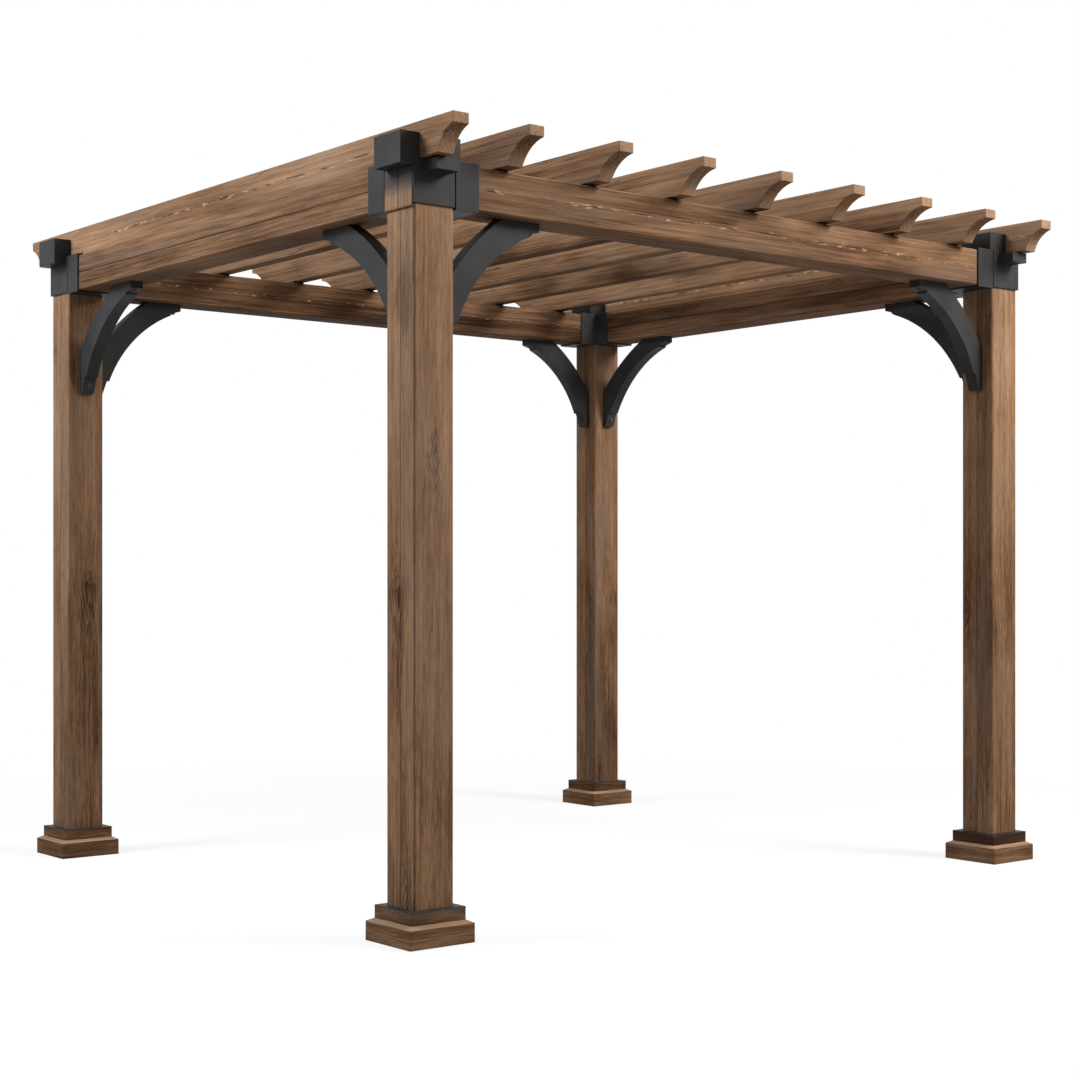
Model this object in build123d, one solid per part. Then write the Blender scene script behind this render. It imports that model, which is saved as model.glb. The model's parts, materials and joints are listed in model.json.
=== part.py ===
from build123d import *
import os

# Driving dimensions of a free-standing four-post pergola, in millimetres.
# +X runs along the front beam, +Y runs back along the rafters, +Z is up.
# The origin is on the ground under the middle of the roof, whose rafters reach further at the back.

# Frame layout: post centres and the height of the beams
post_spacing_x = 2610.0
post_spacing_y = 2270.0
beam_top = 2262.0

# Posts, built up from two boards, so a seam runs up the middle of the left and right faces
post_width = 140.0
post_edge_chamfer = 4.0
seam_width = 3.0
seam_depth = 2.0

# Base trim round each post foot
collar_board = 25.0
collar_top = 102.0
plinth_board = 19.0
plinth_edge_top = 57.0
plinth_chamfer_top = 66.0
base_plate_lip = 0.5
base_plate_thickness = 2.5

# Beams between the posts, of two boards one above the other
beam_height = 130.0
beam_edge_chamfer = 4.0

# Rafters on top of the beams, with a scroll cut at both ends; the inner ones end short at the front
rafter_thickness = 55.0
rafter_height = 104.0
front_overhang = 168.0
back_overhang = 215.0
rafter_tip_face = 31.0
inner_rafter_count = 7
inner_rafter_inset = 264.0
inner_front_setback = 24.0
end_rafter_inset = 15.0
inner_cove_run = 104.0
end_cove_run = 72.0
inner_cove_bow = 17.0
end_cove_bow = 14.0

# Steel seats that lift the inner rafters off the beams, and the end rafters' notches
rafter_lift = 9.0
rafter_seat_width = 44.0
rafter_seat_setback = 24.0
notch_clearance = 3.0

# Three-way corner brackets of folded steel plate; the front ones have a ledge out in front
bracket_plate = 6.0
bracket_slot = 4.0
bracket_arm = 84.0
ledge_width = 80.0
ledge_reach = 64.0
ledge_gap = 6.0
ledge_depth = 34.0

# Saddles that hold the end rafters over the corner brackets
saddle_height = 65.0
saddle_setback = 18.0
saddle_outer_lip = 46.0
saddle_inner_lip = 14.0
saddle_lip_drop = 28.0
saddle_floor = 4.0

# Arched knee braces, two at each post, with a wedge tab for a bolt at both ends
brace_thickness = 48.0
brace_drop = 320.0
brace_foot = 50.0
brace_outer_drop = 225.0
front_brace_start = 213.0
front_brace_reach = 356.0
front_inner_bow = 39.0
front_outer_bow = 16.0
side_brace_start = 280.0
side_brace_reach = 420.0
side_inner_bow = 43.0
side_outer_bow = 20.0
foot_tab_drop = 60.0
foot_tab_top = 40.0
foot_tab_toe = 18.0
beam_tab_reach = 42.0
beam_tab_root = 38.0
beam_tab_tip = 26.0
brace_nose = 45.0

# Places worked out from the sizes above
collar_width = post_width + 2 * collar_board
plinth_width = collar_width + 2 * plinth_board
base_plate_width = collar_width + 2 * base_plate_lip
beam_bottom = beam_top - beam_height
rafter_bottom = beam_top + rafter_lift
roof_front = -(post_spacing_y + post_width) / 2 - front_overhang
roof_back = (post_spacing_y + post_width) / 2 + back_overhang
roof_middle = (roof_front + roof_back) / 2
inner_rafter_pitch = (post_spacing_x - 2 * inner_rafter_inset) / (inner_rafter_count - 1)
bracket_top = beam_top + bracket_plate
notch_top = bracket_top + saddle_floor
half_post = post_width / 2
half_rafter = rafter_thickness / 2
end_rafter_x = (post_spacing_x + post_width - rafter_thickness) / 2 - end_rafter_inset
sleeve_face = half_post + bracket_plate
arm_end = half_post + bracket_slot + bracket_arm

corners = {
    "front_left": (-1, -1),
    "front_right": (1, -1),
    "back_left": (-1, 1),
    "back_right": (1, 1),
}


def block(low, high):
    """A plain block between two opposite corners."""
    size = [top - bottom for bottom, top in zip(low, high)]
    middle = [(bottom + top) / 2 for bottom, top in zip(low, high)]
    return Pos(*middle) * Box(*size)


def bowed_arc(start, end, bow):
    """An arc from start to end whose middle lies bow to the left of the chord."""
    first = Vector(*start)
    last = Vector(*end)
    chord = last - first
    left = Vector(-chord.Y, chord.X).normalized()
    return ThreePointArc(first, (first + last) / 2 + left * bow, last)


def seam_groove():
    """The V outline of a board seam, open to the face at local Y zero."""
    half = seam_width / 2
    return make_face(Polyline((-half, 0), (half, 0), (0, seam_depth), close=True))


def seamed(outline):
    """A member's outline with a board seam in the middle of its two local X faces."""
    for side in (90, -90):
        outline -= Rot(0, 0, side) * Pos(0, -half_post) * seam_groove()
    return outline


def post():
    """A square post with eased corners and a seam up its left and right faces."""
    outline = Rectangle(post_width, post_width)
    outline = chamfer(outline.vertices(), post_edge_chamfer)
    return extrude(seamed(outline), beam_top)


def collar():
    """The inner base trim, boards that stand round the post foot."""
    ring = Rectangle(collar_width, collar_width) - Rectangle(post_width, post_width)
    return extrude(ring, collar_top)


def plinth():
    """The outer base trim, a skirting round the collar with a sloping top edge."""
    skirt = extrude(Rectangle(plinth_width, plinth_width), plinth_edge_top)
    slope = loft(
        [
            Pos(0, 0, plinth_edge_top) * Rectangle(plinth_width, plinth_width),
            Pos(0, 0, plinth_chamfer_top) * Rectangle(collar_width, collar_width),
        ]
    )
    return skirt + slope - extrude(Rectangle(collar_width, collar_width), plinth_chamfer_top)


def base_plate():
    """The thin steel frame that caps the base trim."""
    ring = Rectangle(base_plate_width, base_plate_width) - Rectangle(post_width, post_width)
    return Pos(0, 0, collar_top) * extrude(ring, base_plate_thickness)


def beam_outline():
    """The section of a beam, with eased corners."""
    outline = Rectangle(post_width, beam_height)
    return chamfer(outline.vertices(), beam_edge_chamfer)


def beam(outline, length):
    """A beam of this section along X, centred on the origin."""
    bar = extrude(Plane.YZ * outline, length / 2, both=True)
    return Pos(0, 0, beam_top - beam_height / 2) * bar


def rafter(bottom, front_setback, cove_run, cove_bow):
    """A rafter along Y with its underside at bottom and a concave scroll at both ends."""
    back = roof_back
    front = roof_front + front_setback
    top = bottom + rafter_height
    tip_under = top - rafter_tip_face
    outline = [
        Line((front + cove_run, bottom), (back - cove_run, bottom)),
        bowed_arc((back - cove_run, bottom), (back, tip_under), cove_bow),
        Line((back, tip_under), (back, top)),
        Line((back, top), (front, top)),
        Line((front, top), (front, tip_under)),
        bowed_arc((front, tip_under), (front + cove_run, bottom), cove_bow),
    ]
    return extrude(Plane.YZ * make_face(outline), half_rafter, both=True)


def end_rafter():
    """A rafter that rests on a side beam and is notched over the brackets at both ends."""
    bar = rafter(beam_top, 0, end_cove_run, end_cove_bow)
    outer = post_spacing_y / 2 + sleeve_face + notch_clearance
    inner = post_spacing_y / 2 - arm_end - notch_clearance
    notch = block((-half_rafter, inner, beam_top), (half_rafter, outer, notch_top))
    return bar - notch - mirror(notch, about=Plane.XZ)


def rafter_seats():
    """A row of low steel seats, one under each inner rafter, centred on a beam."""
    length = post_width - 2 * rafter_seat_setback
    seat = Pos(0, 0, beam_top + rafter_lift / 2) * Box(rafter_seat_width, length, rafter_lift)
    return [Pos(x, 0, 0) * seat for x in inner_rafter_places()]


def inner_rafter_places():
    """The X places of the evenly spaced rafters between the two end rafters."""
    middle = (inner_rafter_count - 1) / 2
    return [(index - middle) * inner_rafter_pitch for index in range(inner_rafter_count)]


def corner_bracket():
    """The bracket of a corner whose beams leave along local +X and +Y."""
    slot_end = half_post + bracket_slot
    under = beam_bottom - bracket_plate
    cap = block((-sleeve_face, -sleeve_face, beam_top), (half_post, half_post, bracket_top))
    face = block((-sleeve_face, -sleeve_face, beam_bottom), (half_post, -half_post, bracket_top))
    link = block((half_post, -half_post, beam_top), (slot_end, half_post, bracket_top))
    outer = block((slot_end, -sleeve_face, under), (arm_end, sleeve_face, bracket_top))
    timber = block((slot_end, -half_post, beam_bottom), (arm_end, half_post, beam_top))
    along_x = face + link + (outer - timber)
    along_y = mirror(along_x, about=Plane.YZ).rotate(Axis.Z, -90)
    return cap + along_x + along_y


def bracket_ledge():
    """The ledge that stands out in front of a front corner's bracket, under the rafter's foot."""
    ledge_top = beam_top - ledge_gap
    return block(
        (-ledge_width / 2, -sleeve_face - ledge_reach, ledge_top - ledge_depth),
        (ledge_width / 2, -sleeve_face, ledge_top),
    )


def rafter_saddle():
    """The saddle of a corner whose beams leave along local +X and +Y."""
    outside = end_rafter_inset - half_post
    inside = outside + rafter_thickness
    outer_cheek = -sleeve_face - saddle_outer_lip
    inner_cheek = sleeve_face + saddle_inner_lip
    top = bracket_top + saddle_height
    lip = bracket_top - saddle_lip_drop
    outline = Polyline(
        (outer_cheek, lip),
        (-sleeve_face, lip),
        (-sleeve_face, bracket_top),
        (inner_cheek, bracket_top),
        (inner_cheek, top),
        (inside, top),
        (inside, notch_top),
        (outside, notch_top),
        (outside, top),
        (outer_cheek, top),
        close=True,
    )
    length = 2 * sleeve_face - saddle_setback
    body = extrude(Plane.XZ * make_face(outline), -length)
    return Pos(0, -sleeve_face, 0) * body


def brace(start, reach, inner_bow, outer_bow):
    """An arched knee brace that leaves a post at the origin along +X, under a beam."""
    foot_z = beam_bottom - brace_drop
    toe_z = foot_z - foot_tab_drop
    outer_z = beam_bottom - brace_outer_drop
    nose_z = beam_bottom - brace_nose
    nose_x = half_post + reach - beam_tab_reach
    tip_x = half_post + reach
    corners = [
        (half_post, toe_z),
        (half_post + foot_tab_toe, toe_z),
        (half_post + foot_tab_top, foot_z),
        (half_post + brace_foot, foot_z),
    ]
    nose = [
        (nose_x, nose_z),
        (nose_x, beam_bottom - beam_tab_root),
        (tip_x, beam_bottom - beam_tab_tip),
        (tip_x, beam_bottom),
        (half_post + start, beam_bottom),
    ]
    outline = [
        Polyline(*corners),
        bowed_arc(corners[-1], nose[0], inner_bow),
        Polyline(*nose),
        bowed_arc(nose[-1], (half_post, outer_z), -outer_bow),
        Line((half_post, outer_z), corners[0]),
    ]
    return extrude(Plane.XZ * make_face(outline), brace_thickness / 2, both=True)


def to_corner(piece, side_x, side_y):
    """Turn or mirror a piece made for the front left corner and move it to its corner."""
    if side_x > 0 and side_y > 0:
        piece = piece.rotate(Axis.Z, 180)
    elif side_x > 0:
        piece = mirror(piece, about=Plane.YZ)
    elif side_y > 0:
        piece = mirror(piece, about=Plane.XZ)
    return Pos(side_x * post_spacing_x / 2, side_y * post_spacing_y / 2, 0) * piece


def build():
    """Every piece of the pergola by its node name."""
    nodes = {}
    for name, (side_x, side_y) in corners.items():
        nodes[name + "_post"] = to_corner(post(), side_x, side_y)
        nodes[name + "_collar"] = to_corner(collar(), side_x, side_y)
        nodes[name + "_plinth"] = to_corner(plinth(), side_x, side_y)
        nodes[name + "_base_plate"] = to_corner(base_plate(), side_x, side_y)
        bracket = corner_bracket()
        if side_y < 0:
            bracket += bracket_ledge()
        nodes[name + "_corner_bracket"] = to_corner(bracket, side_x, side_y)
        nodes[name + "_rafter_saddle"] = to_corner(rafter_saddle(), side_x, side_y)
        along_x = brace(front_brace_start, front_brace_reach, front_inner_bow, front_outer_bow)
        along_y = brace(side_brace_start, side_brace_reach, side_inner_bow, side_outer_bow)
        along_y = along_y.rotate(Axis.Z, 90)
        nodes[name + "_beam_brace"] = to_corner(along_x, side_x, side_y)
        nodes[name + "_side_brace"] = to_corner(along_y, side_x, side_y)
    long_beam = beam(beam_outline(), post_spacing_x - post_width)
    side_beam = beam(seamed(beam_outline()), post_spacing_y - post_width).rotate(Axis.Z, 90)
    nodes["front_beam"] = Pos(0, -post_spacing_y / 2, 0) * long_beam
    nodes["back_beam"] = Pos(0, post_spacing_y / 2, 0) * long_beam
    nodes["left_beam"] = Pos(-post_spacing_x / 2, 0, 0) * side_beam
    nodes["right_beam"] = Pos(post_spacing_x / 2, 0, 0) * side_beam
    seats = rafter_seats()
    nodes["front_rafter_seats"] = Compound([Pos(0, -post_spacing_y / 2, 0) * seat for seat in seats])
    nodes["back_rafter_seats"] = Compound([Pos(0, post_spacing_y / 2, 0) * seat for seat in seats])
    nodes["left_end_rafter"] = Pos(-end_rafter_x, 0, 0) * end_rafter()
    nodes["right_end_rafter"] = Pos(end_rafter_x, 0, 0) * end_rafter()
    inner_rafter = rafter(rafter_bottom, inner_front_setback, inner_cove_run, inner_cove_bow)
    for number, x in enumerate(inner_rafter_places(), start=1):
        nodes[f"inner_rafter_{number}"] = Pos(x, 0, 0) * inner_rafter
    return nodes


os.makedirs("parts", exist_ok=True)
for node, solid in build().items():
    export_step(Pos(0, -roof_middle, 0) * solid, f"parts/{node}.step")
    print(node, round(solid.volume), "mm3")
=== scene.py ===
# %% [markdown]
# # Dressing a wooden pergola
# The frame loaded below is the bare carpentry: four posts on stepped base trim, four beams, nine rafters
# with scroll-cut ends, and steel corner brackets, saddles and arched knee braces. Those shapes are right
# already, so this lesson is about finishes: stained timber that shows how each board was sawn, powder-coated
# steel, and the bolts that are too small for the frame. Each timber finish is worked out from the member's
# own box, so a changed size still gets its grain along its length.

# %% Load the frame
import json
import math
import random
from collections import namedtuple
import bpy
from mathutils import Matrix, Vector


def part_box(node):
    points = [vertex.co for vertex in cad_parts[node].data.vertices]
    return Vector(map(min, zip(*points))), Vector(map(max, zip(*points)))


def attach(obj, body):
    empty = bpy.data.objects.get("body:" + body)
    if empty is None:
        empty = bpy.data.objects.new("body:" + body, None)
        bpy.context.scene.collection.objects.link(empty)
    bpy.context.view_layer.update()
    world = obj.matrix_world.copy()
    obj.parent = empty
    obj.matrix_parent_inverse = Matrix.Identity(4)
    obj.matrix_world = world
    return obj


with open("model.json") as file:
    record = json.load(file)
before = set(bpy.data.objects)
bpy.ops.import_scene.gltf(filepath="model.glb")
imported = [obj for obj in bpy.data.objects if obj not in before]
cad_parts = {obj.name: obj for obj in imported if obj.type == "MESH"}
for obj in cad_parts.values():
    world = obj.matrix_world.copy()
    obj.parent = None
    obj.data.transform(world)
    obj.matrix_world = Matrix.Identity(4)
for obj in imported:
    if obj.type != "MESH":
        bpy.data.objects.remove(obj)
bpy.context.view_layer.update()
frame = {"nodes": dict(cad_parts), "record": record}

from types import SimpleNamespace

import bmesh
import bpy
from mathutils import Vector

nodes = frame["nodes"]

# %% [markdown]
# ## Shader sums as plain Python
# A wood finish needs long sums: distances to the heart of the log, bands, masks. One could place every
# Math node by hand, but then the sum is hard to read. A small class holds one output socket, and ordinary
# operators on it add the Math nodes. Every other kind of node comes from its one method.

# %% A wire through a material
class Wire:
    """A value on its way through a node tree. Operators on it add Math nodes."""

    def __init__(self, tree, socket=None):
        self.tree = tree
        self.socket = socket

    def node(self, kind, settings=None, inputs=None, out=0):
        """Add a node: its settings first, then the values or links of its sockets."""
        made = self.tree.nodes.new(kind)
        for key, value in (settings or {}).items():
            if key == "stops":
                fill_ramp(made.color_ramp, value)
            else:
                setattr(made, key, value)
        for key, value in (inputs or {}).items():
            socket = next(s for s in made.inputs if key in (s.identifier, s.name))
            if isinstance(value, Wire):
                self.tree.links.new(value.socket, socket)
            else:
                socket.default_value = value
        return Wire(self.tree, made.outputs[out] if len(made.outputs) else None)

    def maths(self, operation, *others):
        """A Math node on this value and the others, in that order."""
        inputs = dict(zip(("Value", "Value_001"), (self,) + others))
        return self.node("ShaderNodeMath", {"operation": operation}, inputs)

    def step(self, low, high):
        """Zero below low, one above high, and a smooth rise between them."""
        inputs = {"Value": self, "From Min": low, "From Max": high}
        return self.node("ShaderNodeMapRange", {"interpolation_type": "SMOOTHSTEP"}, inputs)

    def __add__(self, other):
        return self.maths("ADD", other)

    def __sub__(self, other):
        return self.maths("SUBTRACT", other)

    def __mul__(self, other):
        return self.maths("MULTIPLY", other)

    def __rsub__(self, value):
        inputs = {"Value": value, "Value_001": self}
        return self.node("ShaderNodeMath", {"operation": "SUBTRACT"}, inputs)

    __radd__ = __add__
    __rmul__ = __mul__


def fill_ramp(ramp, stops):
    """Give a colour ramp its stops, each a position and a colour."""
    while len(ramp.elements) < len(stops):
        ramp.elements.new(1.0)
    for element, (position, colour) in zip(ramp.elements, stops):
        element.position = position
        element.color = (*colour, 1.0)


print("shader sums ready")

# %% [markdown]
# A few short helpers serve all the finishes. Noise is stretched along the grain by a different scale for
# each direction. A mix blends two colours by a mask. The edge mask asks the Bevel node how far its rounded
# normal leans away from the face's own: that is large only beside an edge, whatever the shape of the piece.

# %% Helpers for every finish
bevel_samples = 4
edge_lean = (0.01, 0.20)


def part_of(vector, number):
    """One of the three parts of a vector."""
    return vector.node("ShaderNodeSeparateXYZ", {}, {"Vector": vector}, out=number)


def stretched_noise(place, scales, detail=2.0, roughness=0.5):
    """Noise whose scale differs along the three directions of place."""
    inputs = {"Vector": place, "Vector_001": scales}
    scaled = place.node("ShaderNodeVectorMath", {"operation": "MULTIPLY"}, inputs)
    inputs = {"Vector": scaled, "Scale": 1.0, "Detail": detail, "Roughness": roughness}
    return place.node("ShaderNodeTexNoise", {}, inputs)


def blend(mask, below, above):
    """The colour below where the mask is zero, and the one above where it is one."""
    inputs = {"Factor_Float": mask, "A_Color": below, "B_Color": (*above, 1.0)}
    return mask.node("ShaderNodeMix", {"data_type": "RGBA"}, inputs, out=2)


def edge_and_normal(sheet, radius):
    """A mask of the piece's edges, and a normal that rounds them a little."""
    rounded = sheet.node("ShaderNodeBevel", {"samples": bevel_samples}, {"Radius": radius})
    inputs = {"Vector": rounded, "Vector_001": sheet.node("ShaderNodeNewGeometry", out="Normal")}
    lean = sheet.node("ShaderNodeVectorMath", {"operation": "DOT_PRODUCT"}, inputs, out="Value")
    return (1 - lean).step(*edge_lean), rounded


print("helpers ready")

# %% [markdown]
# Every finish starts as an empty material and ends in the same way: a colour, a roughness and a relief go
# to the shader. The relief is only a bump, for fibres and pebbles far too fine to be worth a mesh.

# %% Start and close a finish
def new_finish(name):
    """An empty material: its first wire, and its principled shader."""
    material = bpy.data.materials.new(name)
    material.use_nodes = True
    shader = next(n for n in material.node_tree.nodes if n.type == "BSDF_PRINCIPLED")
    return material, Wire(material.node_tree), shader


def close_finish(shader, colour, roughness, relief, rounded, bump):
    """Feed a finish to its shader. The bump holds the strength and the depth of its relief."""
    inputs = {"Height": relief, "Normal": rounded, "Strength": bump[0], "Distance": bump[1]}
    normal = relief.node("ShaderNodeBump", {}, inputs)
    for socket, wire in (("Base Color", colour), ("Roughness", roughness), ("Normal", normal)):
        wire.tree.links.new(wire.socket, shader.inputs[socket])


print("finish ends ready")

# %% [markdown]
# ## Stained timber
# The timber is softwood under a brown stain. Its growth rings are tubes round the heart of the log, so a
# saw cut shows them as stripes or as long arches. A flat picture of grain would run the wrong way on the
# ends, so the rings here are solid: the distance from a wandering heart line, in the member's own
# coordinates. First come those coordinates: one along the grain and two across it, with each board of a
# built-up member cut from another stretch of the log.

# %% Coordinates along and across the grain
Timber = namedtuple("Timber", "along across upright place board")
axes_by_grain = {"x": (0, 1, 2), "y": (1, 0, 2), "z": (2, 0, 1)}
board_shift = 2.7


def grain_place(sheet, centre, grain, split, log_start):
    """Wires along and across the grain from the member's centre, the place in the log, and the board."""
    here = sheet.node("ShaderNodeTexCoord", out="Object")
    inputs = {"Vector": here, "Location": [-n for n in centre]}
    local = sheet.node("ShaderNodeMapping", {}, inputs)
    parts = [part_of(local, number) for number in range(3)]
    if grain == "round":
        normal = sheet.node("ShaderNodeNewGeometry", out="Normal")
        lean = [part_of(normal, number).maths("ABSOLUTE") for number in range(2)]
        side = lean[0].maths("GREATER_THAN", lean[1])
        along = parts[0] * (1 - side) + parts[1] * side
        across = parts[1] * (1 - side) + parts[0] * side
        upright = parts[2]
    else:
        along, across, upright = [parts[number] for number in axes_by_grain[grain]]
    board = upright.maths("GREATER_THAN", 0.0) * split
    inputs = {"X": along + board * board_shift + log_start, "Y": across, "Z": upright}
    return Timber(along, across, upright, sheet.node("ShaderNodeCombineXYZ", {}, inputs), board)


print("grain coordinates ready")

# %% [markdown]
# Wood shows many patterns at once, from zones as long as an arm to fibres as thin as a hair. They differ
# mostly in their size along and across the grain, so one table holds them all, in cycles a metre, and one
# helper makes any of them. A pattern that comes and goes in spells has a band, which turns it into a mask.

# %% The patterns in the wood
Figure = namedtuple("Figure", "along across detail roughness band", defaults=(2.0, 0.5, None))
figures = {
    "zones": Figure(1.4, 7.0, 3.0),
    "patches": Figure(4.0, 30.0, 4.0, 0.6),
    "streaks": Figure(2.4, 80.0, 3.0, 0.6),
    "fibres": Figure(19.0, 240.0, 4.0, 0.7),
    "clouds": Figure(2.0, 5.0, band=(0.40, 0.74)),
    "greying": Figure(1.2, 9.0, 3.0, band=(0.47, 0.72)),
    "heart_sway": Figure(0.9, 4.0),
    "seasons": Figure(0.6, 20.0, 1.0),
    "knot_wobble": Figure(9.0, 30.0),
    "crack_path": Figure(1.5, 26.0),
    "crack_spells": Figure(3.2, 9.0, 1.0, band=(0.56, 0.66)),
    "smudge_fray": Figure(7.0, 34.0, 3.0),
    "tear_wander": Figure(5.0, 1.0),
    "tear_spells": Figure(11.0, 40.0, 1.0, band=(0.52, 0.60)),
    "splinter_spells": Figure(27.0, 130.0, 1.0, band=(0.60, 0.67)),
    "dirt_spells": Figure(3.0, 1.0, band=(0.30, 0.65)),
}


def figure(wood, name, reach=1.0):
    """One pattern of the wood: a mask where it has a band, or else a value about zero."""
    size = figures[name]
    scales = (size.along / reach, size.across, size.across)
    noise = stretched_noise(wood.place, scales, size.detail, size.roughness)
    return noise.step(*size.band) if size.band else noise - 0.5


print(len(figures), "patterns")

# %% [markdown]
# A knot is the root of a branch: a dark eye, nested rings round it, and growth rings that bend out of its
# way. Most are strewn by a cell pattern that adds up the distances along the three directions, which gives
# the lozenges that a saw cut shows. A knot at a known spot joins them by taking the nearer of the two.

# %% Knots
knot_spread = (1.5, 5.0, 5.0)
knot_odds = (0.55, 0.56)
knot_above, knot_below, knot_aside = 3.0, 0.9, 5.0
knot_wobble = 0.09
knot_ring_count = 15.0
knot_ring_rise, knot_ring_fall, knot_ring_fade = (0.25, 0.75), (0.80, 1.0), (0.14, 0.36)


def knot_cells(place):
    """How near the next knot of the log is, and past one where a cell holds none."""
    inputs = {"Vector": place, "Vector_001": knot_spread}
    scaled = place.node("ShaderNodeVectorMath", {"operation": "MULTIPLY"}, inputs)
    settings = {"distance": "MANHATTAN"}
    inputs = {"Vector": scaled, "Scale": 1.0}
    near = place.node("ShaderNodeTexVoronoi", settings, inputs)
    cell = place.node("ShaderNodeTexVoronoi", settings, inputs, out="Color")
    there = place.node("ShaderNodeSeparateColor", {}, {"Color": cell}).step(*knot_odds)
    return near + (1 - there)


def set_knot(wood, spot):
    """How near a knot is that sits at one known spot of the member, with a longer lower half."""
    reach = [(wire - at).maths("ABSOLUTE") for wire, at in zip(wood, spot)]
    below = wood.along.maths("LESS_THAN", spot[0])
    pull = knot_above - below * (knot_above - knot_below)
    return reach[0] * pull + reach[1] * knot_aside + reach[2] * knot_aside


def nearest_knot(wood, knot_at):
    """How near any knot is, with a wobble so that none looks ruled."""
    knot = knot_cells(wood.place)
    if knot_at is not None:
        knot = knot.maths("MINIMUM", set_knot(wood, knot_at))
    return knot + figure(wood, "knot_wobble") * knot_wobble


def knot_rings(knot):
    """The nested rings of a knot, thin and dark, that fade out away from its eye."""
    ring = (knot * knot_ring_count).maths("FRACT")
    band = ring.step(*knot_ring_rise) - ring.step(*knot_ring_fall)
    return band * (1 - knot.step(*knot_ring_fade))


print("knots ready")

# %% [markdown]
# The late wood of each year is dark, so the rings show as bands. The heart line wanders, and a drift from
# season to season keeps the bands uneven. Drying opens thin cracks along the grain, and a soft dark smudge
# may sit at one given spot.

# %% Growth rings, cracks and smudges
rings_a_metre = 58.0
season_drift = 2.6
sway_aside, sway_above = 0.07, 0.05
late_rise, late_fall = (0.20, 0.88), (0.90, 1.0)
crack_width = 0.012
smudge_pull = (8.0, 25.0, 18.0)
smudge_fray = 2.0
smudge_edge = (0.1, 1.2)


def late_wood(wood, heart, bulge):
    """The dark bands of the growth rings round a heart line that wanders."""
    sway = figure(wood, "heart_sway")
    aside = wood.across - heart[0] + sway * sway_aside
    above = wood.upright - heart[1] + sway * sway_above
    radius = (aside * aside + above * above).maths("SQRT") + bulge
    seasons = figure(wood, "seasons") + 0.5
    ring = (radius * rings_a_metre + seasons * season_drift).maths("FRACT")
    return ring.step(*late_rise) - ring.step(*late_fall)


def drying_cracks(wood):
    """Thin dark cracks that wander along the grain, here and there."""
    off = figure(wood, "crack_path").maths("ABSOLUTE")
    return (1 - off.step(0.0, crack_width)) * figure(wood, "crack_spells")


def dark_smudge(wood, spot):
    """A soft dark smudge round one known spot of the member, frayed along the grain."""
    reach = [(wire - at) * pull for wire, at, pull in zip(wood, spot, smudge_pull)]
    far = (reach[0] * reach[0] + reach[1] * reach[1] + reach[2] * reach[2]).maths("SQRT")
    return 1 - (far + figure(wood, "smudge_fray") * smudge_fray).step(*smudge_edge)


print("rings, cracks and smudges ready")

# %% [markdown]
# Two marks run along a member's middle line. On a rough-sawn beam the wood tears there, dark where it is
# split open and pale where a splinter lifts. Where two boards meet, the frame has a real groove, and dirt
# gathers in it. Both follow the distance from the middle, broken up by spells.

# %% Torn wood and dirty grooves
tear_wander = 0.014
tear_width, splinter_width, groove_width = (0.0008, 0.0045), (0.002, 0.009), (0.0006, 0.0026)
dirt_in_spells = 0.6


def torn_line(wood):
    """Along the middle of a member: where it is split open, and where a pale splinter lifts."""
    off = (wood.upright + figure(wood, "tear_wander") * tear_wander).maths("ABSOLUTE")
    split_open = (1 - off.step(*tear_width)) * figure(wood, "tear_spells")
    lifted = (1 - off.step(*splinter_width)) * figure(wood, "splinter_spells")
    return split_open, lifted


def dirty_groove(wood, least):
    """The dirt in the groove between two boards, never less than a given share."""
    groove = 1 - wood.upright.maths("ABSOLUTE").step(*groove_width)
    return groove * (figure(wood, "dirt_spells") * dirt_in_spells + least)


print("torn wood and grooves ready")

# %% [markdown]
# The next cells put the layers together, as a finisher would name them: broad light and dark zones, streaks
# as wide as a pencil, hair-fine fibres, late wood, knots, cracks and dark clouds, the clouds partly painted
# shade. Each mark has a weight, and their sum says how deep the stain looks. A short list of habits says how
# a member differs from a plain board.

# %% The depth of the stain
plain_board = {
    "tone": 0.0,  # paler above zero, darker below
    "zones": 0.5,  # strength of the broad zones
    "reach": 1.0,  # how far patches, streaks and fibres are drawn out
    "smoke": 0.10,  # strength of the dark clouds: random tone, and painted shade under the roof
    "damp": 0.0,  # painted light and shade: paler head and darker foot of a post, as if lit from above
    "run_off": 0.0,  # painted shade along the lower edge
    "ends": 0.0,  # how pale the cut ends are, and the painted light on a trim's upward slope
    "split": 0.0,  # how far the upper board differs from the lower one
    "groove": None,  # least share of dirt in a groove
    "torn": False,  # torn along the middle
    "knot_at": None,  # spot of a known knot, from the member's centre
    "smudge_at": None,  # spot of a smoky smudge
    "mist": None,  # heights between which the wood blends to steel grey
}
stain_weights = {
    "patches": 0.42, "streaks": 0.50, "fibres": 0.85,
    "late": -0.07, "knot_rings": -0.17, "halo": -0.05, "core": -0.22, "cracks": -0.24,
}
late_by_knot, smudge_weight, board_weight = 0.10, 0.20, 0.10
middle_depth = 0.5
halo_edge, core_edge = (0.0, 0.36), (0.02, 0.06)
ring_bulge = 0.055
cloud_fade = (0.0, 0.07)
lower_edge_shade_band = (-0.07, 0.05)
light_fall_span, light_fall_mean = (-0.9, 0.9), 0.55


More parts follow.
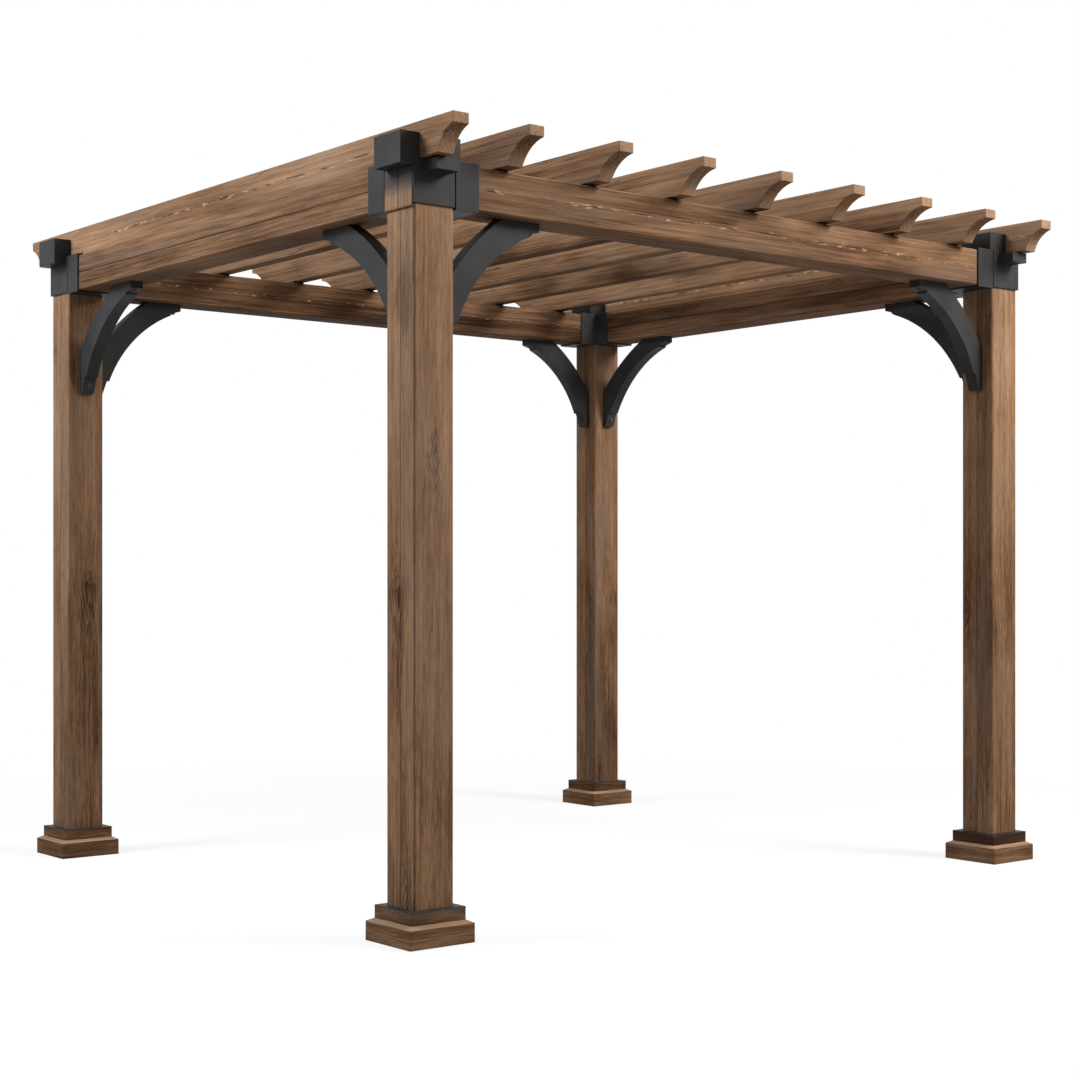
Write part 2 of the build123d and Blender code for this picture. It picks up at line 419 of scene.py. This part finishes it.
def wood_marks(wood, grain, heart, habit):
    """All that shows in the wood of one member, each mark as a wire."""
    knot = nearest_knot(wood, habit.knot_at)
    marks = SimpleNamespace(halo=1 - knot.step(*halo_edge), core=1 - knot.step(*core_edge))
    marks.knot_rings = knot_rings(knot)
    marks.late = late_wood(wood, heart, marks.halo * ring_bulge)
    marks.cracks = drying_cracks(wood)
    marks.zones = figure(wood, "zones")
    marks.clouds = figure(wood, "clouds")
    # On beams and rafters the dark clouds keep to the lower part, as painted shade below the tops.
    if grain in ("x", "y"):
        marks.clouds = marks.clouds * (1 - wood.upright.step(*cloud_fade))
    for name in ("patches", "streaks", "fibres"):
        setattr(marks, name, figure(wood, name, habit.reach))
    return marks


def weigh(marks, weights, start):
    """A start value and some of the marks, each times its weight."""
    total = start
    for name, weight in weights.items():
        total = getattr(marks, name) * weight + total
    return total


def stain_depth(wood, marks, habit):
    """Where each spot lies on the stain ramp: the sum of all that makes it paler or darker."""
    depth = weigh(marks, stain_weights, middle_depth + habit.tone)
    # The dark clouds are random tone, and painted shade on the timbers under the roof.
    depth = depth + marks.zones * habit.zones - marks.clouds * habit.smoke
    depth = depth - marks.late * marks.halo * late_by_knot
    # Painted shade along the lower edge.
    if habit.run_off:
        depth = depth - (1 - wood.upright.step(*lower_edge_shade_band)) * habit.run_off
    if habit.smudge_at is not None:
        depth = depth - dark_smudge(wood, habit.smudge_at) * smudge_weight
    # Painted light and shade: paler towards the head of a post, darker towards its foot.
    if habit.damp:
        depth = depth + (wood.along.step(*light_fall_span) - light_fall_mean) * habit.damp
    return depth + (wood.board - habit.split / 2) * board_weight


print(len(plain_board), "habits and", len(stain_weights), "weights")

# %% [markdown]
# One stain ramp turns the depth into colour, so all members belong to the same batch of stain. Over it lie
# weathered grey, pale edges that are partly rubbed wear and partly painted highlight, and the torn and dirty
# lines. A cut end stays paler, and a trim's slope is painted paler as lit. Blending these one after another,
# the lowest first, keeps each one easy to change.

# %% The stained wood of one member
stain = [
    (0.00, (0.036, 0.016, 0.008)),
    (0.25, (0.118, 0.060, 0.030)),
    (0.50, (0.245, 0.136, 0.074)),
    (0.75, (0.356, 0.212, 0.124)),
    (1.00, (0.490, 0.316, 0.198)),
]
rubbed, splinter = (0.430, 0.278, 0.178), (0.50, 0.355, 0.235)
seam_dirt, weathered = (0.026, 0.014, 0.008), (0.215, 0.149, 0.107)
steel_grey_top = (0.062, 0.061, 0.060)
log_length = 60
heart_off = ((0.05, 0.10), (0.04, 0.09))
wood_edge = 0.004
rub_start, rub_weights, rub_band = 0.55, {"fibres": 0.9, "zones": 1.0}, (0.30, 0.95)
relief_weights = {"fibres": 0.6, "streaks": 0.25, "late": -0.15, "cracks": -0.7}
wood_roughness, roughness_weights = 0.76, {"late": -0.05, "zones": 0.15, "rub": 0.06}
grey_cover, rub_cover, tear_cover, grey_top_cover = 0.36, 0.40, 0.70, 0.92
tear_depth, splinter_height = 0.8, 0.5
late_in_ends = 0.3
wood_bump = (0.45, 0.0012)
wood_gloss = 0.06
end_axis = {"y": 1, "round": 2}
end_lean = (0.40, 0.90)


def cut_end(sheet, grain):
    """A mask of the faces that look along the grain, or up from a mitred trim, where the slope is painted
    light.
    """
    normal = sheet.node("ShaderNodeNewGeometry", out="Normal")
    return part_of(normal, end_axis[grain]).maths("ABSOLUTE").step(*end_lean)


def stained_wood(name, box, grain, seed, **habits):
    """The stained softwood of one member, cut from its own stretch of a log."""
    habit = SimpleNamespace(**{**plain_board, **habits})
    pick = random.Random(seed)
    material, sheet, shader = new_finish(name)
    centre = (box[0] + box[1]) / 2
    wood = grain_place(sheet, centre, grain, habit.split, pick.uniform(0, log_length))
    heart = [pick.choice((-1, 1)) * pick.uniform(*off) for off in heart_off]
    marks = wood_marks(wood, grain, heart, habit)
    depth = stain_depth(wood, marks, habit)
    colour = sheet.node("ShaderNodeValToRGB", {"stops": stain}, {"Fac": depth})
    colour = blend(figure(wood, "greying") * grey_cover, colour, weathered)
    edge, rounded = edge_and_normal(sheet, wood_edge)
    # Pale edges: rubbed wear, and partly a painted highlight.
    marks.rub = edge * weigh(marks, rub_weights, rub_start).step(*rub_band)
    colour = blend(marks.rub * rub_cover, colour, rubbed)
    relief = weigh(marks, relief_weights, 0.0)
    if habit.torn:
        split_open, lifted = torn_line(wood)
        colour = blend(split_open * tear_cover, colour, seam_dirt)
        colour = blend(lifted * tear_cover, colour, splinter)
        relief = relief - split_open * tear_depth + lifted * splinter_height
    if habit.groove is not None:
        colour = blend(dirty_groove(wood, habit.groove), colour, seam_dirt)
    # Cut ends are paler; on trim, the upward slope gets painted light.
    if habit.ends:
        cover = cut_end(sheet, grain) * habit.ends * (1 - marks.late * late_in_ends)
        colour = blend(cover, colour, rubbed)
    if habit.mist is not None:
        colour = blend(wood.along.step(*habit.mist) * grey_top_cover, colour, steel_grey_top)
    roughness = weigh(marks, roughness_weights, wood_roughness)
    close_finish(shader, colour, roughness, relief, rounded, wood_bump)
    shader.inputs["Specular IOR Level"].default_value = wood_gloss
    return material


print("stain of", len(stain), "stops ready")

# %% [markdown]
# Now each wooden member gets its own cut of the log. Posts are built up from two boards, so a seam runs up
# the middle of the left and right faces and the boards differ in tone, and they are painted paler at the head
# and darker at the foot, as if lit from above. Two posts carry a knot where one shows best, and the near one
# a smudge. Base trim is mitred, so its grain turns the corner with the face, and its sloping edge is painted
# pale, as if lit from above.

# %% Dress the posts and their trim
corners = ("front_left", "front_right", "back_left", "back_right")
# Posts carry painted light at the head and painted shade at the foot.
post_stain = {"split": 0.7, "groove": 0.18, "tone": 0.04, "damp": 0.23}
trim_stain = {"zones": 0.9, "reach": 1.6}
trim = (("collar", -0.33, 0.0), ("plinth", -0.21, 0.75))
knots_at = {
    "front_left_post": (-0.11, -0.07, 0.006),
    "back_left_post": (-0.105, 0.004, -0.07),
}
smudges_at = {"front_left_post": (0.745, -0.07, -0.025)}


def dress(node, material):
    """Give a node of the frame its finish."""
    slots = nodes[node].data.materials
    slots.clear()
    slots.append(material)


def dress_wood(node, grain, **habits):
    """Give a wooden node a stain of its own."""
    dress(node, stained_wood(f"stained_{node}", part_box(node), grain, node, **habits))


for corner in corners:
    post = f"{corner}_post"
    spots = {"knot_at": knots_at.get(post), "smudge_at": smudges_at.get(post)}
    dress_wood(post, "z", **post_stain, **spots)
    for piece, tone, slope in trim:
        dress_wood(f"{corner}_{piece}", "round", tone=tone, ends=slope, **trim_stain)
print("dressed", len(corners), "posts and", len(corners) * len(trim), "rings of trim")

# %% [markdown]
# Beams are two boards one above the other. The front and back ones are torn along their middle, and the side
# ones have a groove; the back and right beams get darker tones as painted shade. The rafters are single
# boards, paler at their cut ends, with dark clouds and a darker lower edge as painted shade. The two end ones
# stand in the open, so they get less of that painted shade, and are torn like the front beam.

# %% Dress the beams and the rafters
beam_stain = {"zones": 0.8, "reach": 3.0, "split": 0.8}
# The darker tones of the back and right beams are painted shade.
beams = (
    ("front_beam", "x", -0.06, 0.22),
    ("back_beam", "x", -0.22, 0.04),
    ("left_beam", "y", -0.10, 0.18),
    ("right_beam", "y", -0.12, 0.10),
)
rafter_stain = {"ends": 0.40, "zones": 0.7, "tone": 0.10, "reach": 3.0}
# Painted shade under the roof: stronger dark clouds and darker lower edges on the inner rafters than on the
# end ones.
inner_stain = {"smoke": 0.36, "run_off": 0.17}
end_stain = {"smoke": 0.08, "run_off": 0.06, "torn": True}
inner_rafters = [f"inner_rafter_{number}" for number in range(1, 8)]
end_rafters = ["left_end_rafter", "right_end_rafter"]

for node, grain, tone, smoke in beams:
    middle = {"groove": 0.40} if grain == "y" else {"torn": True}
    dress_wood(node, grain, tone=tone, smoke=smoke, **beam_stain, **middle)
for rafters, habits in ((inner_rafters, inner_stain), (end_rafters, end_stain)):
    for node in rafters:
        dress_wood(node, "y", **rafter_stain, **habits)
print("dressed", len(beams), "beams and", len(inner_rafters) + len(end_rafters), "rafters")

# %% [markdown]
# On the near corner the left cheek of the head bracket is hidden by two thin boards, so the post seems to run
# on up to the saddle. They are real boards with eased edges, not paint: two slabs with the seam between
# them, bevelled in the mesh, in the same stain as the posts, blending to the steel's grey towards the top.

# %% Facing boards on the near head
facing_depth = 0.0015
facing_gap = 0.0012
facing_margin = 0.003
facing_lip = 0.003
facing_ease = 0.4
grey_from, grey_to = 0.22, 0.66
near_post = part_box("front_left_post")
near_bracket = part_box("front_left_corner_bracket")
near_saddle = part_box("front_left_rafter_saddle")


def slab(shell, low, high):
    """Add a closed box to a mesh under construction."""
    made = bmesh.ops.create_cube(shell, size=1.0)["verts"]
    for vert in made:
        vert.co = Vector([a + (b - a) * (n + 0.5) for a, b, n in zip(low, high, vert.co)])


def facing_boards(name, material):
    """Two thin boards on the left face of the near corner bracket, lipped under its lower edge."""
    post_low, post_high = near_post
    back, bottom = near_bracket[0].x, near_bracket[0].z
    front, top = back - facing_depth, near_saddle[0].z - facing_margin
    middle = (post_low.y + post_high.y) / 2
    shell = bmesh.new()
    for start, end in ((post_low.y, middle - facing_gap / 2), (middle + facing_gap / 2, post_high.y)):
        slab(shell, (front, start, bottom), (back, end, top))
        slab(shell, (front, start, bottom - facing_lip), (post_low.x, end, bottom))
    offset = facing_depth * facing_ease
    bmesh.ops.bevel(shell, geom=shell.edges[:], offset=offset, segments=2, affect="EDGES")
    mesh = bpy.data.meshes.new(name)
    shell.to_mesh(mesh)
    shell.free()
    mesh.materials.append(material)
    piece = bpy.data.objects.new(name, mesh)
    bpy.context.scene.collection.objects.link(piece)
    return piece


post_middle = (near_post[0].z + near_post[1].z) / 2
head_low, head_high = near_bracket[0].z, near_saddle[0].z
mist = [head_low + (head_high - head_low) * part - post_middle for part in (grey_from, grey_to)]
facing_habits = {**post_stain, "mist": mist}
facing_finish = stained_wood("stained_near_facing", near_post, "z", "front_left_post", **facing_habits)
facing = facing_boards("front_left_head_facing", facing_finish)
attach(facing, "root")
print("facing faces:", len(facing.data.polygons))

# %% [markdown]
# ## Powder-coated steel
# The brackets, saddles, braces and base plates are folded plate under a satin charcoal powder coat. Such a
# coat has a fine pebble, slightly uneven gloss and dust on it. A thin bright line along its folds is partly
# rubbed coat and partly a painted highlight. The same edge mask as on the timber finds the folds.

# %% Dress the steel
coat_dark = (0.020, 0.020, 0.0205)
coat_dusty = (0.039, 0.0385, 0.038)
coat_rubbed = (0.095, 0.093, 0.090)
dust_scale, pebble_scale, scuff_scale = (9.0, 9.0, 7.0), (520.0, 520.0, 520.0), (38.0, 38.0, 12.0)
dust_from, dust_to = 0.32, 0.72
scuff_band, rub_on_folds = (0.38, 0.62), 0.6
coat_roughness, dust_on_gloss, scuff_on_gloss = 0.52, 0.22, 0.18
pebble_height, scuff_height = 0.5, 0.5
coat_edge = 0.003
coat_bump = (0.25, 0.0006)
coat_gloss = 0.12


def powder_coat(name, clean, dusty):
    """Satin powder coat on steel plate, between its clean colour and its dusty one."""
    material, sheet, shader = new_finish(name)
    place = sheet.node("ShaderNodeTexCoord", out="Object")
    dust = stretched_noise(place, dust_scale, 3.0)
    pebble = stretched_noise(place, pebble_scale, 2.0)
    scuff = stretched_noise(place, scuff_scale, 4.0, 0.62)
    edge, rounded = edge_and_normal(sheet, coat_edge)
    stops = [(dust_from, clean), (dust_to, dusty)]
    colour = sheet.node("ShaderNodeValToRGB", {"stops": stops}, {"Fac": dust})
    # Pale folds: rubbed coat, and partly a painted highlight.
    colour = blend(edge * scuff.step(*scuff_band) * rub_on_folds, colour, coat_rubbed)
    roughness = coat_roughness + (dust - 0.5) * dust_on_gloss + (scuff - 0.5) * scuff_on_gloss
    relief = pebble * pebble_height + scuff * scuff_height
    close_finish(shader, colour, roughness, relief, rounded, coat_bump)
    shader.inputs["Specular IOR Level"].default_value = coat_gloss
    return material


steel = powder_coat("charcoal_powder_coat", coat_dark, coat_dusty)
steel_nodes = [s["node"] for s in frame["record"]["subparts"] if s["material_slot"] == "black_steel"]
for node in steel_nodes:
    dress(node, steel)
print("dressed", len(steel_nodes), "steel pieces")

# %% [markdown]
# ## Bolts on the braces
# Each brace is held by one round-headed bolt in the wedge at its foot and one in the wedge under the beam.
# Sixteen like fasteners are a job for Geometry Nodes: a mesh of points marks the places, an attribute says
# which way each wedge faces, and a tree does the rest. The places follow from each brace's own box and
# from the slopes of its two wedges.

# %% Find the places of the bolts
foot_toe, foot_top, foot_drop = 0.018, 0.040, 0.060
nose_reach, nose_root, nose_tip = 0.042, 0.038, 0.026
foot_slope = math.atan2(foot_top - foot_toe, foot_drop)
nose_slope = math.atan2(nose_root - nose_tip, nose_reach)


def bolt_places():
    """A point and a direction for both bolts of every brace."""
    points, facings = [], []
    for corner in corners:
        for piece, axis, first_side in (("beam_brace", 0, "left"), ("side_brace", 1, "front")):
            low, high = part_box(f"{corner}_{piece}")
            away = 1 if first_side in corner else -1
            start, end = (low, high) if away > 0 else (high, low)
            foot = (start[axis] + away * (foot_toe + foot_top) / 2, low.z + foot_drop / 2)
            nose = (end[axis] - away * nose_reach / 2, high.z - (nose_root + nose_tip) / 2)
            foot_facing = (math.cos(foot_slope), -math.sin(foot_slope))
            nose_facing = (math.sin(nose_slope), -math.cos(nose_slope))
            for (run, height), (out, down) in ((foot, foot_facing), (nose, nose_facing)):
                point, facing = (low + high) / 2, Vector((0, 0, down))
                point[axis], point.z = run, height
                facing[axis] = away * out
                points.append(point)
                facings.append(facing)
    return points, facings


points, facings = bolt_places()
print(len(points), "bolt places")

# %% [markdown]
# The tree makes one washer and one domed head, sets both on every point, turns them to the facing, and ends
# in real faces with their finish. Its sizes are named inputs, so one number changes all sixteen bolts.

# %% Build the bolts with Geometry Nodes
bolt_sides = 20
dome_share = 0.62
bolt_sizes = {"Washer Radius": 0.0105, "Washer Height": 0.002, "Head Radius": 0.0075, "Head Height": 0.005}


def bolt_inputs(tree):
    """Name the tree's inputs and its output, and return a wire for each input."""
    face = tree.interface
    face.new_socket("Geometry", in_out="INPUT", socket_type="NodeSocketGeometry")
    for label, size in bolt_sizes.items():
        socket = face.new_socket(label, in_out="INPUT", socket_type="NodeSocketFloat")
        socket.default_value = size
    face.new_socket("Material", in_out="INPUT", socket_type="NodeSocketMaterial")
    face.new_socket("Geometry", in_out="OUTPUT", socket_type="NodeSocketGeometry")
    given = tree.nodes.new("NodeGroupInput")
    return {socket.name: Wire(tree, socket) for socket in given.outputs if socket.name}


def bolt_tree():
    """Points with a facing become washers and domed heads."""
    tree = bpy.data.node_groups.new("brace_bolts", "GeometryNodeTree")
    given = bolt_inputs(tree)
    sheet = Wire(tree)
    inputs = {"Vertices": bolt_sides, "Radius": given["Washer Radius"], "Depth": given["Washer Height"]}
    washer = sheet.node("GeometryNodeMeshCylinder", {}, inputs)
    inputs = {"Vertices": bolt_sides, "Side Segments": 1, "Radius Top": given["Head Radius"] * dome_share,
              "Radius Bottom": given["Head Radius"], "Depth": given["Head Height"]}
    head = sheet.node("GeometryNodeMeshCone", {}, inputs)
    lift = sheet.node("ShaderNodeCombineXYZ", {}, {"Z": given["Washer Height"] * 0.5})
    head = sheet.node("GeometryNodeTransform", {}, {"Geometry": head, "Translation": lift})
    join = tree.nodes.new("GeometryNodeJoinGeometry")
    for piece in (washer, head):
        tree.links.new(piece.socket, join.inputs[0])
    kind = {"data_type": "FLOAT_VECTOR"}
    facing = sheet.node("GeometryNodeInputNamedAttribute", kind, {"Name": "facing"})
    turn = sheet.node("FunctionNodeAlignRotationToVector", {"axis": "Z"}, {"Vector": facing})
    bolt = Wire(tree, join.outputs[0])
    inputs = {"Points": given["Geometry"], "Instance": bolt, "Rotation": turn}
    placed = sheet.node("GeometryNodeInstanceOnPoints", {}, inputs)
    real = sheet.node("GeometryNodeRealizeInstances", {}, {"Geometry": placed})
    inputs = {"Geometry": real, "Material": given["Material"]}
    coated = sheet.node("GeometryNodeSetMaterial", {}, inputs)
    result = tree.nodes.new("NodeGroupOutput")
    tree.links.new(coated.socket, result.inputs[0])
    return tree


print(len(bolt_sizes), "sizes for the bolts")

# %% [markdown]
# The points become an object that carries the tree as a modifier. The finish is handed in by the socket's
# identifier, the result is taken as a plain mesh, and the modifier goes, because what is handed over has to
# stand without it. Bolt heads get a paler coat, which starts where the plate's ends.

# %% Set the bolts
def make_bolts(name, material):
    """One plain mesh of all the bolts, with its modifier baked in."""
    mesh = bpy.data.meshes.new(name + "_points")
    mesh.from_pydata(points, [], [])
    attribute = mesh.attributes.new("facing", "FLOAT_VECTOR", "POINT")
    attribute.data.foreach_set("vector", [number for facing in facings for number in facing])
    piece = bpy.data.objects.new(name, mesh)
    bpy.context.scene.collection.objects.link(piece)
    modifier = piece.modifiers.new("bolts", "NODES")
    modifier.node_group = bolt_tree()
    for item in modifier.node_group.interface.items_tree:
        if item.in_out == "INPUT" and item.name == "Material":
            modifier[item.identifier] = material
    depsgraph = bpy.context.evaluated_depsgraph_get()
    baked = bpy.data.meshes.new_from_object(piece.evaluated_get(depsgraph))
    piece.modifiers.remove(modifier)
    piece.data = baked
    return piece


# The bolt heads get a paler coat than the plates.
bolt_finish = powder_coat("pale_bolt_coat", coat_dusty, coat_rubbed)
bolts = make_bolts("brace_bolts", bolt_finish)
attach(bolts, "root")
print("bolt faces:", len(bolts.data.polygons))

# %% [markdown]
# ## The picture
# A product picture on white wants a pale floor that fades into a white surround. A lit floor alone turns out
# grey, and a glowing one throws light up under the roof. So the floor is white only to the camera, keeps
# the shadow by a share of plain pale paint near the feet, and is a dull grey to all other light.

# %% Floor that fades to white
floor_reach = 30.0
floor_fade = (1.6, 4.2)
floor_pale, floor_dull = (0.90, 0.90, 0.90, 1.0), (0.30, 0.295, 0.29, 1.0)
floor_roughness = 0.9
glow_share = 0.78


def seen_white(sheet):
    """One for rays straight from the camera, or from it by way of a reflection or a clear piece."""
    names = ("Is Camera Ray", "Is Glossy Ray", "Is Transmission Ray")
    rays = [sheet.node("ShaderNodeLightPath", out=name) for name in names]
    return rays[0].maths("MAXIMUM", rays[1]).maths("MAXIMUM", rays[2])


def mix_shaders(mask, below, above):
    """One shader where the mask is zero, and another where it is one."""
    inputs = {"Fac": mask, "Shader": below, "Shader_001": above}
    return mask.node("ShaderNodeMixShader", {}, inputs)


def floor_paint():
    """White to the camera with the shadow kept, and dull to all other light."""
    material, sheet, shader = new_finish("pale_floor")
    place = sheet.node("ShaderNodeTexCoord", out="Object")
    length = sheet.node("ShaderNodeVectorMath", {"operation": "LENGTH"}, {"Vector": place}, out="Value")
    glow = length.step(*floor_fade) * (1.0 - glow_share) + glow_share
    pale = sheet.node("ShaderNodeBsdfDiffuse", {}, {"Color": floor_pale})
    white = sheet.node("ShaderNodeEmission", {}, {"Strength": 1.0})
    shader.inputs["Base Color"].default_value = floor_dull
    shader.inputs["Roughness"].default_value = floor_roughness
    shader.inputs["Specular IOR Level"].default_value = 0.0
    dull = Wire(material.node_tree, shader.outputs[0])
    mixed = mix_shaders(seen_white(sheet), dull, mix_shaders(glow, pale, white))
    output = next(n for n in material.node_tree.nodes if n.type == "OUTPUT_MATERIAL")
    material.node_tree.links.new(mixed.socket, output.inputs["Surface"])
    return material


rim = [(-1, -1), (1, -1), (1, 1), (-1, 1)]
floor_mesh = bpy.data.meshes.new("studio_floor")
floor_mesh.from_pydata([(x * floor_reach, y * floor_reach, 0) for x, y in rim], [], [(0, 1, 2, 3)])
floor_mesh.materials.append(floor_paint())
floor = bpy.data.objects.new("studio_floor", floor_mesh)
bpy.context.scene.collection.objects.link(floor)
print("floor", floor.name)

# %% [markdown]
# The surround is white to the camera in the same way, and a weak even light to the pergola. The shape comes
# from three soft boxes: a warm one off the front right, a cool one off the left, and a faint one
# overhead that draws the shadow round the feet. A single hard lamp would cut the roof into stripes.

# %% White surround and soft lamps
ambient_light = 0.25
white = (1.0, 1.0, 1.0)
SoftBox = namedtuple("SoftBox", "name place aim width power colour")
soft_boxes = (
    SoftBox("front_soft_box", (3.0, -5.0, 5.1), (0.2, -1.2, 1.7), 2.4, 500.0, (1.0, 0.98, 0.95)),
    SoftBox("left_soft_box", (-5.3, 1.4, 5.0), (-1.4, 0.0, 1.7), 2.2, 345.0, (0.94, 0.99, 1.05)),
    SoftBox("top_soft_box", (0.6, -0.6, 6.5), (0.0, 0.0, 0.0), 3.0, 130.0, white),
)


def white_surround():
    """White to the camera and in reflections, and a plain soft light everywhere else."""
    world = bpy.data.worlds.new("white_surround")
    world.use_nodes = True
    bpy.context.scene.world = world
    world.node_tree.nodes.clear()
    sheet = Wire(world.node_tree)
    even, full = [
        sheet.node("ShaderNodeBackground", {}, {"Color": (*white, 1.0), "Strength": strength})
        for strength in (ambient_light, 1.0)
    ]
    mixed = mix_shaders(seen_white(sheet), even, full)
    sheet.node("ShaderNodeOutputWorld", {}, {"Surface": mixed})


def hang(box):
    """A square soft box at its place, turned to its aim."""
    data = bpy.data.lights.new(box.name, "AREA")
    data.size = box.width
    data.energy = box.power
    data.color = box.colour
    lamp = bpy.data.objects.new(box.name, data)
    bpy.context.scene.collection.objects.link(lamp)
    lamp.location = box.place
    lamp.rotation_euler = (Vector(box.aim) - Vector(box.place)).to_track_quat("-Z", "Y").to_euler()
    lamp.visible_camera = False
    return lamp


white_surround()
lamps = [hang(box) for box in soft_boxes]
print(len(lamps), "lamps")

# %% [markdown]
# The camera stands level at chest height off the near corner, and a small upward shift keeps the posts
# upright while the roof stays in the frame. Tilting it up instead would make the posts lean together.

# %% Camera off the near corner
lens_pixels = 1930.8
picture_pixels = 1080.0
horizon_row = 573.6
camera_place = (-4.5487, -5.7613, 1.0697)
camera_turn = -38.728
camera_data = bpy.data.cameras.new("picture_camera")
camera_data.sensor_width = 36.0
camera_data.lens = camera_data.sensor_width * lens_pixels / picture_pixels
camera_data.shift_y = horizon_row / picture_pixels - 0.5
camera = bpy.data.objects.new("picture_camera", camera_data)
bpy.context.scene.collection.objects.link(camera)
camera.location = camera_place
camera.rotation_euler = (math.radians(90.0), 0.0, math.radians(camera_turn))
bpy.context.scene.camera = camera
bpy.context.scene.view_settings.view_transform = "Standard"
print("lens", round(camera_data.lens, 2), "mm")

# %% [markdown]
# ## The end
# The last line closes the script.

# %% Finish
print("script finished")
